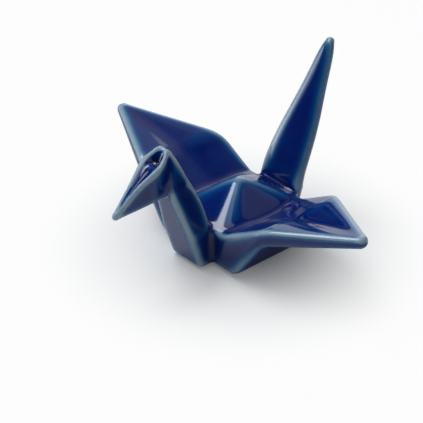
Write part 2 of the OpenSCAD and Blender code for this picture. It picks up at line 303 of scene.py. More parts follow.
class Trough:
    """Sections of the body and wings: a folded trough with a hump in its middle."""
    VALLEY_ROUND = 0.3  # how round the valleys are at the bottom
    FRONT_POWER = 4  # how soon a valley's front slope flattens towards its rim
    REAR_POWER = 2.4  # the same for its rear slope
    LEAST_FLAT = 0.25  # the least share of the upper side between its rounded rims
    PEAK_ROUND = 0.16  # how round the hump's peak is
    RIDGE_POWER = 5  # how square the hump is, seen from above
    BLEND = 0.7 * MM  # how softly the hump runs into the valleys

    def __init__(self, size, foot):
        s = self.size = size
        self.tip_radius = s.tip_thickness / 2
        self.lean = atan2(s.half_length - self.tip_radius,
                          s.half_span - s.half_fold - self.tip_radius)
        self.ball = self.tip_radius / cos(self.lean)
        self.tip = s.half_span - self.ball * (1 - sin(self.lean))
        self.rim = FoldedLine([(-s.half_waist, s.waist_height), (s.half_waist, s.waist_height),
                               (s.half_fold, s.fold_height), (s.half_span, s.tip_height),
                               (2 * s.half_span, s.tip_height)], s.bend)
        self.low = FoldedLine([(-s.half_base, foot.thickness), (s.half_base, foot.thickness),
                               (s.half_fold, s.fold_height - s.wing_thickness),
                               (s.half_span, s.tip_height - s.tip_thickness)], s.bend)
        self.front = self.edge(s.half_fold)
        self.rear = self.edge(s.half_fold - s.rear_turn)
        self.forward = FoldedLine([(0, 0), (s.half_fold, 0), (s.half_span, s.tip_forward)],
                                  s.bend)
        self.top_round = FoldedLine([(s.half_waist, s.rim_rounding),
                                     (s.half_fold, s.wing_rounding),
                                     (s.half_span, self.tip_radius)], s.bend)
        self.low_round = FoldedLine([(s.half_base, s.base_rounding),
                                     (s.half_fold, s.wing_thickness / 2),
                                     (s.half_span, self.tip_radius)], s.bend)
        self.valley = FoldedLine([(-s.half_hump, s.valley_depth / 2),
                                  (s.half_hump, s.valley_depth / 2),
                                  (s.half_fold, s.valley_depth), (s.valley_end, 0),
                                  (2 * s.half_span, 0)], s.bend)

    def edge(self, turn):
        """Distance of an edge from the middle line, turning to the tip at a distance."""
        s = self.size
        return FoldedLine([(0, s.half_length), (turn, s.half_length),
                           (self.tip + s.bend, self.tip_radius - s.bend * tan(self.lean))],
                          s.bend)

    def chord(self, out):
        """Half the distance between the two edges, at a distance from the middle."""
        return (self.front(out) + self.rear(out)) / 2

    def sweep(self, out):
        """Where the middle between the two edges lies."""
        return (self.front(out) - self.rear(out)) / 2 + self.forward(out)

    @staticmethod
    def vee(u, k):
        """A V with a rounded bottom: 0 in its middle, 1 at a distance of 1."""
        return (sqrt(u * u + k * k) - k) / (sqrt(1 + k * k) - k)

    def hump(self, x, out):
        """Height of the four-faced hump."""
        s = self.size
        along = (abs(x) / s.half_length) ** self.RIDGE_POWER
        across = (out / s.half_hump) ** self.RIDGE_POWER
        return mix(s.hump_height, s.waist_height,
                   self.vee((along + across) ** (1 / self.RIDGE_POWER), self.PEAK_ROUND))

    def upper(self, u, out):
        """Height of the upper side at a share u of the way to a rim."""
        power = self.FRONT_POWER if u > 0 else self.REAR_POWER
        slope = (1 - self.vee(u, self.VALLEY_ROUND)) ** power
        trough = self.rim(out) - self.valley(out) * slope
        hump = self.hump(u * self.chord(out), out)
        apart = trough - hump
        return (trough + hump - self.BLEND + sqrt(apart ** 2 + self.BLEND ** 2)) / 2

    def ring(self, y, shrink=1.0, across=72):
        """A section at a place along the wings, shrunk towards its middle."""
        out = min(abs(y), self.tip)
        x, low = self.chord(out), self.low(out)
        top = min(self.top_round(out), x * (1 - self.LEAST_FLAT))
        flat = 1 - top / x
        rim = self.upper(flat, out)
        corners = [Vector(c) for c in ((-x, low), (x, low), (x, rim), (-x, rim))]
        front = (rounded_corner(corners[0], corners[1], corners[2], self.low_round(out))
                 + rounded_corner(corners[1], corners[2], corners[3], top))
        bow = [Vector((u * x, self.upper(u, out)))
               for u in (flat * (1 - 2 * k / across) for k in range(1, across))]
        rear = [Vector((-p.x, p.y)) for p in reversed(front)]
        middle = (rim + low) / 2
        return [(self.sweep(out) + p.x * shrink, y, middle + (p.y - middle) * shrink)
                for p in front + bow + rear]

    def rings(self, count=300, turns=10):
        """Sections from one wing's domed tip to the other's."""
        tip, lean = self.tip, self.lean
        ends = [(tip + self.ball * (sin(a) - sin(lean)), cos(a) / cos(lean))
                for a in (mix(lean, DOME_END, k / turns) for k in range(turns, 0, -1))]
        return ([self.ring(-y, shrink) for y, shrink in ends]
                + [self.ring(mix(-tip, tip, k / count)) for k in range(count + 1)]
                + [self.ring(y, shrink) for y, shrink in reversed(ends)])


WALL_SHARE = 0.35  # how much of its half width the open fold's sloping wall takes up
LEAST_LIP = 0.3  # the least half width of the fold, as a share of the bar's
LIP_SHARE = 0.95  # how much of the room between the rims the fold takes up
WALL_STEPS = 6


def root_ease(body):
    """Rounding of the lower edges of neck and tail."""
    return body.base_rounding / 2


def root_heights(body, foot, turns=8, steps=24):
    """Heights of the level sections where a bar stands beside the body."""
    low = foot.thickness
    ease = root_ease(body)
    return ([low + ease * (1 - cos(pi / 2 * k / turns)) for k in range(turns)]
            + [mix(low + ease, body.waist_height, k / steps) for k in range(steps + 1)])


def dome_angles(turns=8):
    """Angles of the sections round a domed end."""
    return [DOME_END * k / turns for k in range(1, turns + 1)]


def bar_ring(outer, inner, half_outer, half_inner, edge, inner_edge=None, hollow=0.0, rim=0.0,
             shrink=1.0, turned=1):
    """A folded bar's section through two points of (x, z), one on each face.

    The half widths and the roundings belong to those faces. hollow and rim are the depth
    and the lip of a fold in the inner face, and turned is -1 behind the body.
    """
    span = inner - outer
    height = span.length
    inner_edge = edge if inner_edge is None else inner_edge
    lip = max(LEAST_LIP * half_inner, LIP_SHARE * (half_inner - max(inner_edge, rim)))
    corner = [Vector(c) for c in ((0, 0), (half_outer, 0), (half_inner, height), (0, height))]
    side = (rounded_corner(corner[0], corner[1], corner[2], edge)
            + rounded_corner(corner[1], corner[2], corner[3], inner_edge))
    wall = [Vector((lip * (1 - WALL_SHARE * k / WALL_STEPS),
                    height - hollow * smooth_step(0, 1, k / WALL_STEPS)))
            for k in range(WALL_STEPS + 1)]
    half = side + wall
    outline = ([Vector((0, 0))] + half + [Vector((0, height - hollow))]
               + [Vector((-p.x, p.y)) for p in reversed(half)])
    middle = (outer + inner) / 2
    ring = []
    for p in outline:
        q = middle + (outer + span * (p.y / height) - middle) * shrink
        ring.append((turned * q.x, p.x * shrink, q.y))
    return ring


class Neck:
    """Sections of the neck, which stands on the body's front face, and of the head."""
    NAPE_BEND = 0.48  # how high up the nape its bend lies
    JAW_BEND = (0.38, 0.93)  # how far forward and how far down the jaw its bend lies
    # The nape: share of the jaw, share of the way to the crown, and the widths there as
    # shares of the widths at the throat
    NAPE_ROW = (0.03, 0.6, 0.42, 0.52)
    # Rows of the head: shares of the jaw and of the brow, half widths as shares of the
    # head's width, and shares of the fold's depth and of the rim
    HEAD_ROWS = [(0.07, 0, 0.37, 0.26, 0.15, 1), (0.15, 0.14, 0.31, 0.42, 1, 0.5),
                 (0.3, 0.3, 0.26, 0.5, 0.38, 0.5), (0.63, 0.62, 0.14, 0.28, 0.3, 0.5)]
    # The beak's tip: shares of its lower width, of the fold's depth and of the rim
    BEAK_ROW = (0.7, 0.1, 0.5)

    def __init__(self, size, body, foot, clay):
        self.size, self.body, self.foot, self.clay = size, body, foot, clay
        self.throat = Vector((size.throat_forward, size.throat_height))
        self.breast_foot = Vector((body.half_length + size.breast_out, 0))
        along = (self.throat - self.breast_foot).normalized()
        self.nape_top = self.throat + size.neck_thickness * Vector((-along.y, along.x))
        self.nape_foot = Vector((body.half_length, body.waist_height))
        self.tip = size.beak_size / 2
        self.beak_end = Vector((size.beak_forward - self.tip, size.beak_height))
        self.head_rows = self.rows()

    def breast(self, z):
        """The breast's point at a height."""
        return mix(self.breast_foot, self.throat, z / self.size.throat_height)

    def root_ring(self, z):
        """A level section where the neck runs into the body."""
        s = self.size
        inset = drawn_in(z - self.foot.thickness, root_ease(self.body))
        inner = Vector((self.body.half_length - self.clay.overlap, z))
        return bar_ring(self.breast(z) - Vector((inset, 0)), inner, s.half_breast - inset,
                        s.half_root - inset, s.edge)

    def neck_ring(self, t):
        """A section of the free neck, from the waist at 0 to the throat at 1."""
        s = self.size
        bend = Vector((self.nape_foot.x,
                       mix(self.nape_foot.y, self.nape_top.y, self.NAPE_BEND)))
        inner = bezier(self.nape_foot, bend, self.nape_top, t)
        return bar_ring(mix(self.breast(self.body.waist_height), self.throat, t), inner,
                        mix(s.half_breast, s.half_throat, t), mix(s.half_root, s.half_nape, t),
                        s.edge)

    def jaw(self, t):
        """A point of the jaw, from the throat to the beak's lower side."""
        s = self.size
        low = s.beak_height - self.tip
        bend = Vector((mix(s.throat_forward, s.beak_forward, self.JAW_BEND[0]),
                       mix(s.throat_height, low, self.JAW_BEND[1])))
        return bezier(self.throat, bend, self.beak_end - Vector((0, self.tip)), t)

    def brow(self, t):
        """A point of the rims, from the crown to the beak's upper side."""
        s = self.size
        crown = Vector((s.crown_forward, s.crown_height))
        rise = Vector((0, s.brow * 4 * t * (1 - t)))
        return mix(crown, self.beak_end + Vector((0, self.tip)), t) + rise

    def rows(self):
        """Rows of jaw, brow, half widths, fold depth and rim rounding, from the throat."""
        s = self.size
        jaw, up, low, high = self.NAPE_ROW
        crown = Vector((s.crown_forward, s.crown_height))
        nape = mix(self.nape_top, crown, up) - Vector((s.brow / 2, 0))
        beak, depth, rim = self.BEAK_ROW
        return ([(*self.throat, *self.nape_top, s.half_throat, s.half_nape, 0, s.edge),
                 (*self.jaw(jaw), *nape, 2 * s.half_throat * low, 2 * s.half_nape * high,
                  0, s.edge)]
                + [(*self.jaw(r[0]), *self.brow(r[1]), s.head_width * r[2], s.head_width * r[3],
                    s.fold_depth * r[4], s.rim * r[5]) for r in self.HEAD_ROWS]
                + [(*self.jaw(1), *self.brow(1), self.tip * beak, self.tip,
                    s.fold_depth * depth, s.rim * rim)])

    def head_ring(self, t, ahead=0.0, shrink=1.0):
        """A section of the head, from the throat at 0 to the beak's tip at 1."""
        r = spline(self.head_rows, t)
        return bar_ring(Vector((r[0] + ahead, r[1])), Vector((r[2] + ahead, r[3])), r[4], r[5],
                        self.size.edge, r[7], r[6], self.size.rim, shrink)

    def rings(self, count=90):
        """Sections from the neck's foot to the beak's domed tip."""
        return ([self.root_ring(z) for z in root_heights(self.body, self.foot)]
                + [self.neck_ring(k / count) for k in range(count)]
                + [self.head_ring(k / count) for k in range(count + 1)]
                + [self.head_ring(1, self.tip * sin(a), cos(a)) for a in dome_angles()])


class Tail:
    """Sections of the tail, forwards of the body, turned to its rear when drawn."""
    ROOT_WIDTH = 0.8  # width at its foot, as a share of that at the body's rim
    BACK_WIDTH = 0.8  # width of its rear face, as a share of its front face's
    BOW_POWERS = (1, 5)  # most of the bow lies low down
    SWELL_POWERS = (1.4, 2.1)  # and of the swell below the middle
    SHOULDER_POWERS = (8, 1)  # and of the shoulder just below the tip

    def __init__(self, size, edge, body, foot, clay):
        self.size, self.edge, self.body, self.foot, self.clay = size, edge, body, foot, clay
        rise = Vector((size.tip_back - body.half_length, size.tip_height - body.waist_height))
        along = rise.normalized() * size.tip_size / 2
        self.along, self.across = along, Vector((along.y, -along.x))
        self.end = Vector((size.tip_back, size.tip_height)) - self.across - self.along

    def root_ring(self, z):
        """A level section where the tail runs into the body."""
        s = self.size
        level = z / self.body.waist_height
        inset = drawn_in(z - self.foot.thickness, root_ease(self.body))
        half = s.half_width * mix(self.ROOT_WIDTH, 1, level) - inset
        x = self.body.half_length
        return bar_ring(Vector((x + mix(s.keel, s.thickness, level) - inset, z)),
                        Vector((x - self.clay.overlap, z)), half * self.BACK_WIDTH, half,
                        self.edge, turned=-1)

    def tail_ring(self, t, ahead=0.0, shrink=1.0):
        """A section of the free tail, from the waist at 0 to the tip at 1."""
        s = self.size
        half = (mix(s.half_width, s.tip_size / 2, t) + s.swell * bump(t, *self.SWELL_POWERS)
                + s.shoulder * bump(t, *self.SHOULDER_POWERS))
        shift = ahead * self.along - Vector((s.bow * bump(t, *self.BOW_POWERS), 0))
        root = Vector((self.body.half_length, self.body.waist_height))
        inner = mix(root, self.end - self.across, t) + shift
        outer = mix(root + Vector((s.thickness, 0)), self.end + self.across, t) + shift
        return bar_ring(outer, inner, half * self.BACK_WIDTH, half, self.edge, shrink=shrink,
                        turned=-1)

    def rings(self, count=160):
        """Sections from the tail's foot to its domed tip."""
        return ([self.root_ring(z) for z in root_heights(self.body, self.foot)]
                + [self.tail_ring(k / count) for k in range(count + 1)]
                + [self.tail_ring(1, sin(a), cos(a)) for a in dome_angles()])


# The clay form

FORM = "crane_form"
TINY = 1e-9  # keeps a division from meeting zero
CUT_SLACK = 1e-7  # how near a cut a point is taken to lie on it

# The slip in the joints: how far it is worked in fillet sizes, how sharply that fades,
# and how much of its way a point moves in one stroke
FILLET_REACH = 3
FILLET_FADE = 1.5
FILLET_STROKE = 0.9

# The tail's pale flanks, partly thinned glaze and partly a painted highlight, on the side turned
# to the windows and on the other: where they begin on the way from its middle to its edge, and
# how pale the edge gets
WINDOW_SIDE_FLANK = (0.38, 0.9)
OTHER_FLANK = (0.84, 0.35)
FLANK_POWER = 1.5  # how soon they come on
FLANK_LEVELS = 40  # heights at which the tail is measured for them
FLANK_PALING = 0.6  # how strongly they pale the glaze

# Where a mark comes on and where it is full
BROADSIDE = (1 / 6, 7 / 12)  # on a face turned to the front or rear, by its normal
WING_OUT = (2 / 3, 1)  # on the wings, as a share of the way to their folds
LIT_RISE = (-1.2, 0)  # painted highlight on an edge, full where its face looks up or sideways and fading where it looks down, which leaves painted shade there
UPPER_RIM = (0.1, 0.7)  # painted highlight on a wing's rim that looks up
LOWER_RIM = (0.1, 0.6)  # and painted reflection of the floor on one that looks down
LOWER_REFLECTION = 0.5  # how strong the painted reflection on the lower rims is
TAIL_IN = 4  # on the tail, full so many times its joint's slip behind the body
TAIL_CALM = 0.6  # how much softer the tail's edges are

# Strokes that spread a mark over its neighbours
EDGE_STROKES = 10
TAIL_STROKES = 24
GLOW_STROKES = 60


def sizes(context):
    """The groups of sizes and looks, by name."""
    return {name: getattr(context.scene, name) for name in GROUPS}


def neighbour_mean(values, edges, count):
    """The mean of each point's neighbours."""
    a, b = edges[:, 0], edges[:, 1]
    total = [np.bincount(a, v[b], len(v)) + np.bincount(b, v[a], len(v)) for v in values.T]
    return np.stack(total, axis=1) / count


def soften(values, edges, count, strokes):
    """Values spread over their neighbours, a little with each stroke."""
    for _ in range(strokes):
        values = (values + neighbour_mean(values, edges, count)) / 2
    return values


def unit(vectors):
    """Vectors brought to a length of 1."""
    return vectors / np.maximum(np.linalg.norm(vectors, axis=1, keepdims=True), TINY)


def rising(values, low, high):
    """0 below low, 1 above high, straight between."""
    return np.clip((values - low) / (high - low), 0, 1)


def point_arrays(mesh):
    """A mesh's points, its edges and each point's number of neighbours."""
    points = np.empty(len(mesh.vertices) * 3)
    mesh.vertices.foreach_get("co", points)
    edges = np.empty(len(mesh.edges) * 2, dtype=int)
    mesh.edges.foreach_get("vertices", edges)
    edges = edges.reshape(-1, 2)
    count = np.bincount(edges.ravel(), minlength=len(mesh.vertices)).astype(float)
    return points.reshape(-1, 3), edges, count[:, None]


def store(mesh, name, kind, values):
    """Keeps a value for each point of a mesh."""
    layer = mesh.attributes.new(name, kind, "POINT")
    layer.data.foreach_set("vector" if kind == "FLOAT_VECTOR" else "value",
                           np.ascontiguousarray(values, dtype=np.float32).ravel())


def filled_joints(mesh, body, clay):
    """Works slip into the corners where neck and tail leave the body."""
    points, edges, count = point_arrays(mesh)
    normals = np.empty(len(points) * 3)
    near = np.abs(np.abs(points[:, 0]) - body.half_length)
    reach_out = FILLET_REACH * clay.fillet
    weight = np.clip(FILLET_FADE - near / reach_out * FILLET_FADE, 0, 1)
    weight *= points[:, 2] < body.waist_height + reach_out
    edges = edges[weight[edges].max(axis=1) > 0]
    strokes = int((clay.fillet / clay.grain) ** 2)
    for _ in range(strokes // (1)):
        mesh.vertices.foreach_get("normal", normals)
        move = neighbour_mean(points, edges, count) - points
        inward = np.einsum("ij,ij->i", move, normals.reshape(-1, 3))
        points += move * (weight * (inward > 0) * FILLET_STROKE)[:, None]
        mesh.vertices.foreach_set("co", points.ravel())
        mesh.update()


def smoothed_form(raw, clay):
    """The raw form as one skin of even grain with softened edges."""
    lump = bpy.data.objects.new("lump", raw)
    bpy.context.scene.collection.objects.link(lump)
    grain = lump.modifiers.new("grain", "REMESH")
    grain.mode = "VOXEL"
    grain.voxel_size = clay.grain * 1
    grain.adaptivity = 0
    wiped = lump.modifiers.new("wiped", "SMOOTH")
    wiped.factor = 0.5
    wiped.iterations = clay.wipes // 1
    graph = bpy.context.evaluated_depsgraph_get()
    mesh = bpy.data.meshes.new_from_object(lump.evaluated_get(graph))
    bpy.data.objects.remove(lump)
    bpy.data.meshes.remove(raw)
    mesh.name = FORM
    return mesh


def tail_flank_highlights(points, tail):
    """Paler glaze towards the edges of the tail's broad faces: partly real thinning, partly a
    painted highlight that is stronger on the side turned to the windows.
    """
    heights = points[tail[:, 0] > 0.5, 2]
    widths = np.abs(points[tail[:, 0] > 0.5, 1])
    levels = np.linspace(heights.min(), heights.max(), FLANK_LEVELS)
    step = levels[1] - levels[0]
    half = [widths[np.abs(heights - level) <= step].max() for level in levels]
    across = np.abs(points[:, 1]) / np.interp(points[:, 2], levels, half)
    window_side = points[:, 1] < 0
    start, bare = (np.where(window_side, *pair) for pair in zip(WINDOW_SIDE_FLANK, OTHER_FLANK))
    return (rising(across, start, 1) ** FLANK_POWER * bare)[:, None]


def bends(points, normals, edges, count):
    """How sharply the form turns at each point: above 0 on edges, below it in hollows."""
    step = points[edges[:, 1]] - points[edges[:, 0]]
    gap = np.maximum(np.linalg.norm(step, axis=1), TINY)
    turn = np.einsum("ij,ij->i", normals[edges[:, 1]] - normals[edges[:, 0]], step) / gap ** 2
    bend = np.zeros(len(points))
    np.add.at(bend, edges[:, 0], turn)
    np.add.at(bend, edges[:, 1], turn)
    return (bend / count[:, 0] * MM)[:, None]


def mark_glaze(mesh, body, clay):
    """Stores polished normals, how sharp the edges and hollows are at each point, and the edge
    mark with its painted highlights and shade.
    """
    points, edges, count = point_arrays(mesh)
    normals = np.empty(len(points) * 3)
    mesh.vertices.foreach_get("normal", normals)
    normals = unit(soften(normals.reshape(-1, 3), edges, count, clay.polish))
    tail = rising(-points[:, :1], body.half_length, body.half_length + TAIL_IN * clay.luting)
    broadside = rising(np.abs(normals[:, :1]), *BROADSIDE) * tail
    fuller = soften(normals, edges, count, clay.tail_polish)
    store(mesh, "polished", "FLOAT_VECTOR", unit(normals + (fuller - normals) * broadside))

    bend = bends(points, normals, edges, count) * (1 - TAIL_CALM * tail)
    fine = soften(bend, edges, count, EDGE_STROKES)
    fine += (soften(fine, edges, count, TAIL_STROKES) - fine) * tail
    # Painted highlight and shade: an edge keeps its pale colour where its face looks up and loses
    # it where it looks down. On the wings a rim that looks up gets a full painted highlight, one
    # that looks down gets half of one as the floor's reflection, and one that looks forward stays
    # dark.
    rise = normals[:, 2:]
    wing = rising(np.abs(points[:, 1:2]) / body.half_fold, *WING_OUT)
    rims = rising(rise, *UPPER_RIM) + LOWER_REFLECTION * rising(-rise, *LOWER_RIM)
    wiped = mix(rising(rise, *LIT_RISE), rims, wing)
    # Painted highlight on the tail's flanks, partly real thinning of the glaze, stronger on the
    # side turned to the windows.
    bare = soften(tail_flank_highlights(points, tail) * broadside, edges, count, EDGE_STROKES)
    store(mesh, "edge", "FLOAT", fine * wiped + bare * FLANK_PALING)
    store(mesh, "edge_glow", "FLOAT", soften(fine, edges, count, GLOW_STROKES))


class CRANE_OT_form(bpy.types.Operator):
    """Models the whole crane in soft clay as one form"""
    bl_idname = "crane.form"
    bl_label = "Model the form"

    def execute(self, context):
        s = sizes(context)
        body, neck, tail = s["crane_body"], s["crane_neck"], s["crane_tail"]
        foot, clay = s["crane_foot"], s["crane_clay"]
        bm = bmesh.new()
        lofted(bm, Trough(body, foot).rings())
        lofted(bm, Neck(neck, body, foot, clay).rings())
        lofted(bm, Tail(tail, neck.edge, body, foot, clay).rings())
        bmesh.ops.recalc_face_normals(bm, faces=bm.faces)
        raw = bpy.data.meshes.new("raw_form")
        bm.to_mesh(raw)
        bm.free()
        mesh = smoothed_form(raw, clay)
        if not mesh.vertices:
            raise RuntimeError("the form came out empty")
        filled_joints(mesh, body, clay)
        mark_glaze(mesh, body, clay)
        return {"FINISHED"}


def parted(planes):
    """The part of the form on the inner side of each plane of (point, normal), closed."""
    bm = bmesh.new()
    bm.from_mesh(bpy.data.meshes[FORM])
    for point, normal in planes:
        bmesh.ops.bisect_plane(bm, geom=bm.verts[:] + bm.edges[:] + bm.faces[:],
                               plane_co=point, plane_no=normal, clear_outer=True,
                               dist=CUT_SLACK)
    skin = set(bm.faces)
    rims = [e for e in bm.edges if e.is_boundary]
    caps = bmesh.ops.holes_fill(bm, edges=rims, sides=0)["faces"] if rims else []
    if caps:
        bmesh.ops.triangulate(bm, faces=caps)
    for face in bm.faces:
        face.smooth = face in skin
    bmesh.ops.recalc_face_normals(bm, faces=bm.faces)
    return bm


def finished(name, bm, node):
    """An object made of a closed mesh, which stands for a node of the frame."""
    if any(e.is_boundary for e in bm.edges):
        raise RuntimeError(f"{name} has an open edge")
    mesh = bpy.data.meshes.new(name)
    bm.to_mesh(mesh)
    bm.free()
    piece = bpy.data.objects.new(name, mesh)
    bpy.context.scene.collection.objects.link(piece)
    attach(piece, "root")
    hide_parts(node)
    return piece


def glazed(name, node, planes):
    """A closed, glazed piece: the form's part that lies inside the planes."""
    piece = finished(name, parted(planes), node)
    mesh = piece.data
    polished = mesh.attributes["polished"].data
    normals = []
    for face in mesh.polygons:
        for index in face.vertices:
            normals.append(polished[index].vector if face.use_smooth else face.normal)
    mesh.normals_split_custom_set(normals)
    mesh.materials.append(cobalt_glaze())


def fold_plane(body, side, outward=1):
    """Where a wing leaves the body."""
    return (Vector((0, side * body.half_fold, 0)), Vector((0, side * outward, 0)))


def root_plane(body, clay, end, outward=1):
    """Where the neck, at end 1, or the tail, at end -1, leaves the body."""
    joint = end * (body.half_length + clay.luting)
    return (Vector((joint, 0, 0)), Vector((end * outward, 0, 0)))


def throat_plane(neck, body, foot, clay, outward=1):
    """Where the head leaves the neck."""
    line = Neck(neck, body, foot, clay)
    across = line.nape_top - line.throat
    away = Vector((across.y, 0, -across.x)).normalized()
    return (Vector((line.throat.x, 0, line.throat.y)), away * outward)


# Materials

# Where each colour of the glaze lies between its deepest and its thinnest
GLAZE_STOPS = {"deep": 0.0, "cobalt": 0.12, "steel": 0.30, "pale": 0.52, "thin": 0.95}
OPEN_FACE = 0.12  # where an open face lies
EDGE_THINNING_AND_HIGHLIGHT = 1.7  # how strongly an edge pales the glaze: partly real thinning over the edge, partly a painted highlight
GLOW_THINNING_AND_SHEEN = 0.16  # and how strongly the neighbourhood of one does, partly as a painted reflection
POOLED_AND_SHADED = (0.0, 0.5)  # how deep a hollow is where the colour begins to darken, partly pooled glaze and partly painted shade, and where it is full
POOL_AND_SHADE_DEEPENING = 0.08
HOLLOW = (0.35, 0.8)  # and where a hollow begins to dull its gloss, and has
HOLLOW_DULLING = 0.25
CLOUDING = 0.10  # how far slow clouds and quicker drifts shift its colour
DRIFTING = 0.04
DRIFT_DULLING = 0.03
GLAZE_IOR = 1.52
PORE_DEPTH = 0.002 * MM

RUBBED = 0.86  # brightness of the rubbed places on the bare clay
RUBBED_CLOUD = (0.35, 0.7)  # how the rubbed places come on
SPECK_SIZE = (0.05, 0.16)  # where a speck ends, in shares of their spacing
SPECK_STRENGTH = 0.5
CLAY_DULLING = 0.2  # how far the grain shifts the roughness
CLAY_GRAIN = 0.02 * MM


class Wire:
    """A socket of a material, whose arithmetic adds Math nodes."""

    def __init__(self, bench, socket):
        self.bench, self.socket = bench, socket

    def _math(self, operation, *values, clamp=False):
        settings = {"operation": operation, "use_clamp": clamp}
        return self.bench.node("ShaderNodeMath", settings, dict(enumerate(values)))

    def __add__(self, other):
        return self._math("ADD", self, other)

    __radd__ = __add__

    def __sub__(self, other):
        return self._math("SUBTRACT", self, other)

    def __rsub__(self, other):
        return self._math("SUBTRACT", other, self)

    def __mul__(self, other):
        return self._math("MULTIPLY", self, other)

    __rmul__ = __mul__

    def clamped(self):
        """The value, kept from 0 to 1."""
        return self._math("ADD", self, 0.0, clamp=True)

    def between(self, low, high):
        """0 below low, 1 above high, eased between."""
        settings = {"interpolation_type": "SMOOTHSTEP"}
        return self.bench.node("ShaderNodeMapRange", settings,
                               {"Value": self, "From Min": low, "From Max": high})


class Bench:
    """Builds one material's nodes."""

    def __init__(self, name, owner=None):
        self.material = owner or bpy.data.materials.new(name)
        self.material.use_nodes = True
        self.tree = self.material.node_tree
        self.tree.nodes.clear()

    def node(self, kind, settings=None, sockets=None, output=0):
        """A node of a kind, with its settings and its sockets' values or links."""
        made = self.tree.nodes.new(kind)
        for name, value in (settings or {}).items():
            if name == "color_ramp":
                self.set_ramp(made.color_ramp, value)
            else:
                setattr(made, name, value)
        for key, value in (sockets or {}).items():
            if isinstance(value, Wire):
                self.tree.links.new(value.socket, made.inputs[key])
            else:
                made.inputs[key].default_value = value
        return Wire(self, made.outputs[output]) if made.outputs else None

    @staticmethod
    def set_ramp(ramp, stops):
        """Gives a ramp its stops of (share, colour)."""
        while len(ramp.elements) < len(stops):
            ramp.elements.new(1.0)
        for element, (position, colour) in zip(ramp.elements, stops):
            element.position = position
            element.color = (*colour, 1.0)

    def place(self):
        """The place of a point on its object."""
        return self.node("ShaderNodeTexCoord", output="Object")

    def mark(self, name):
        """A value that was stored for each point."""
        return self.node("ShaderNodeAttribute", {"attribute_name": name}, output="Fac")

    def ray(self, kind):
        """1 where a ray of a kind arrives."""
        return self.node("ShaderNodeLightPath", output=kind)

    def noise(self, scale, detail=2.0, roughness=0.5):
        """Noise from 0 to 1, with its scale in waves to the metre."""
        return self.node("ShaderNodeTexNoise", {"noise_dimensions": "3D"},
                         {"Vector": self.place(), "Scale": scale, "Detail": detail,
                          "Roughness": roughness})

    def blend(self, mask, first, second):
        """One colour over another, by a mask."""
        first, second = ((*c, 1.0) if not isinstance(c, Wire) else c for c in (first, second))
        return self.node("ShaderNodeMix", {"data_type": "RGBA"},
                         {0: mask, 6: first, 7: second}, output=2)

    def ramp(self, value, stops):
        """Colours at shares of a ramp, eased between."""
        return self.node("ShaderNodeValToRGB", {"color_ramp": stops}, {"Fac": value})

    def bump(self, height, distance, strength, under=None):
        """Normals of a relief, over those of another."""
        sockets = {"Height": height, "Distance": distance, "Strength": strength}
        if under is not None:
            sockets["Normal"] = under
        return self.node("ShaderNodeBump", None, sockets)

    def surface(self, sockets):
        """The material, finished with a Principled surface."""
        shader = self.node("ShaderNodeBsdfPrincipled", None, sockets)
        self.node("ShaderNodeOutputMaterial", None, {"Surface": shader})
        return self.material


def cobalt_glaze():
    """Glossy cobalt glaze: deep where it pools, pale where it breaks over edges, with painted
    highlights and reflections on the edges and painted shade in the hollows.
    """
    if "cobalt glaze" in bpy.data.materials:
        return bpy.data.materials["cobalt glaze"]
    look = bpy.context.scene.crane_glaze
    b = Bench("cobalt glaze")
    cloud = b.noise(150.0, 3.0)
    drift = b.noise(420.0)
    ripple = b.noise(120.0, 0.0)
    pores = b.noise(5200.0)
    depression = b.mark("edge_glow") * -1.0
    # The pale edges are partly thinned glaze and partly painted highlight and reflection.
    thinned_and_highlit = (b.mark("edge").clamped() * EDGE_THINNING_AND_HIGHLIGHT
               + b.mark("edge_glow").clamped() * GLOW_THINNING_AND_SHEEN)
    # Darker in hollows: partly pooled glaze, partly painted shade.
    pooled_and_shaded = depression.between(*POOLED_AND_SHADED) * POOL_AND_SHADE_DEEPENING
    mottled = (cloud - 0.5) * CLOUDING + (drift - 0.5) * DRIFTING
    share_thin = (thinned_and_highlit + OPEN_FACE - pooled_and_shaded + mottled).clamped()
    dull = drift * DRIFT_DULLING + depression.between(*HOLLOW) * HOLLOW_DULLING
    stops = [(at, getattr(look, name)) for name, at in GLAZE_STOPS.items()]
    waves = b.bump(ripple, look.ripple, 0.5)
    return b.surface({"Base Color": b.ramp(share_thin, stops),
                      "Roughness": look.roughness + dull, "IOR": GLAZE_IOR,
                      "Normal": b.bump(pores, PORE_DEPTH, 0.5, waves)})


def bare_clay():
    """Fired, unglazed porcelain: matt, finely speckled and a little rubbed."""
    look = bpy.context.scene.crane_glaze
    b = Bench("bare clay")
    specks = b.node("ShaderNodeTexVoronoi", {"feature": "F1"},
                    {"Vector": b.place(), "Scale": 900.0}, output="Distance")
    cloud = b.noise(300.0, 4.0)
    grain = b.noise(4000.0, 3.0, 0.7)
    rubbed = tuple(c * RUBBED for c in look.clay)
    ground = b.blend(cloud.between(*RUBBED_CLOUD), tuple(look.clay), rubbed)
    speckled = (1 - specks.between(*SPECK_SIZE)) * SPECK_STRENGTH
    roughness = (look.clay_roughness + (grain - 0.5) * CLAY_DULLING).clamped()
    return b.surface({"Base Color": b.blend(speckled, ground, tuple(look.speck)),
                      "Roughness": roughness, "Normal": b.bump(grain, CLAY_GRAIN, 0.6)})


# Pieces

class CRANE_OT_body(bpy.types.Operator):
    """Parts off and glazes the body between the folds, the neck and the tail"""
    bl_idname = "crane.body"
    bl_label = "Glaze the body"

    def execute(self, context):
        s = sizes(context)
        body, clay = s["crane_body"], s["crane_clay"]
        glazed("glazed_body", "body", [fold_plane(body, 1), fold_plane(body, -1),
                                       root_plane(body, clay, 1), root_plane(body, clay, -1)])
        return {"FINISHED"}


